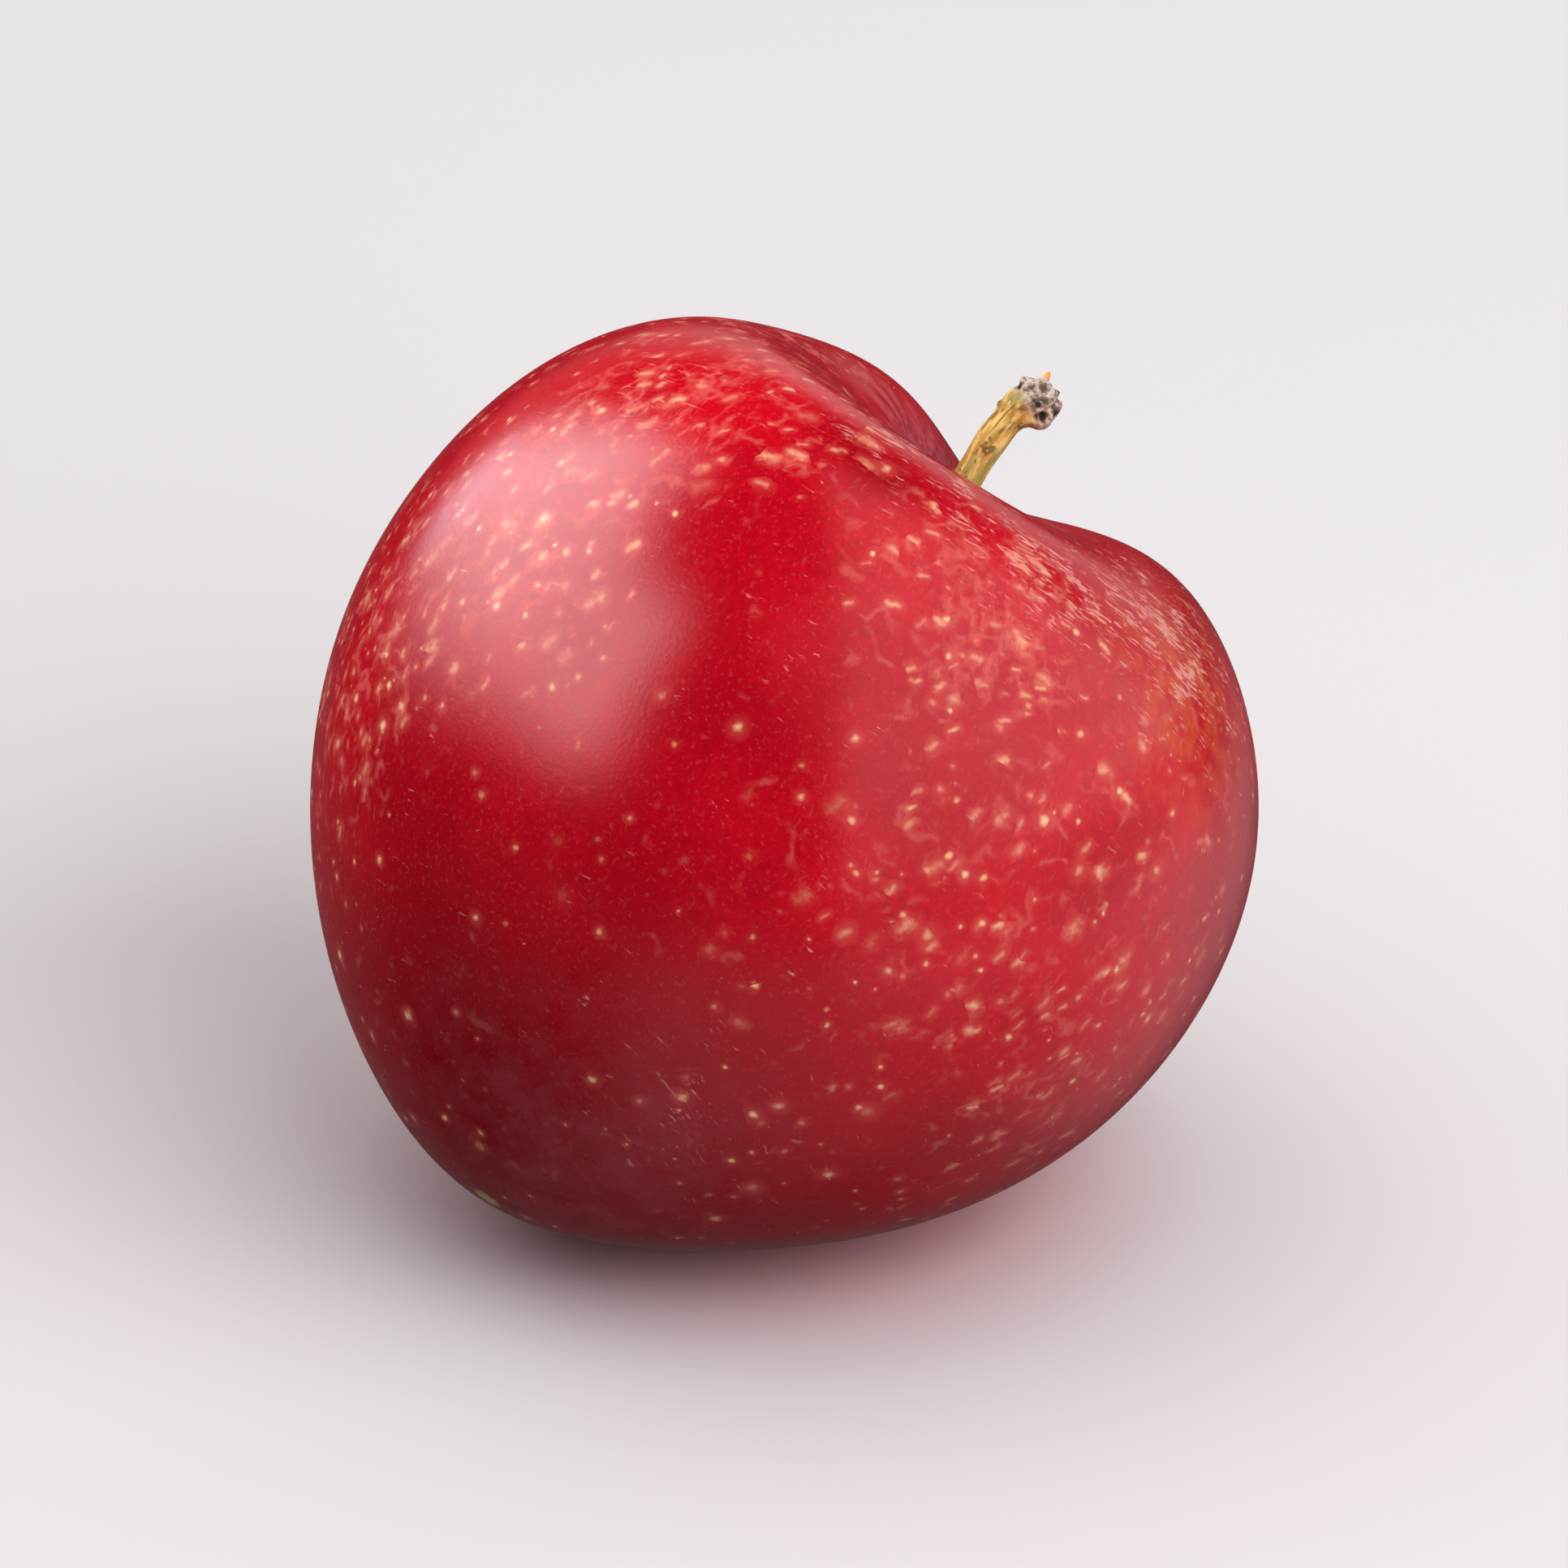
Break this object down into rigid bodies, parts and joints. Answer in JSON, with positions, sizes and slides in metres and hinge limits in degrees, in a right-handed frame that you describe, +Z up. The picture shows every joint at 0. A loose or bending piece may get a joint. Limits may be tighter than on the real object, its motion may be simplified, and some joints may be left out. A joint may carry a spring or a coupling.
{
  "type": "plum",
  "caption": "Round ripe red plum lying on its side, with a stem cavity between two shoulders, a suture down one side and a short woody stalk.",
  "frame": {"origin": "on the ground under the middle of the plum's box", "axes": "+Z up as the plum rests, +Y away from the side that faces a viewer; the stalk points to +X, +Y and +Z"},
  "size_m": [0.0548, 0.0544, 0.053],
  "materials": {
    "skin": "crimson skin with a soft waxy gloss, pale dots and short dashes, and a lilac bloom in the hollows",
    "stalk": "dry ochre bark with brown patches and a rough grey corky end"
  },
  "bodies": {
    "root": {"fruit": "skin", "stem": "stalk"}
  },
  "joints": []
}
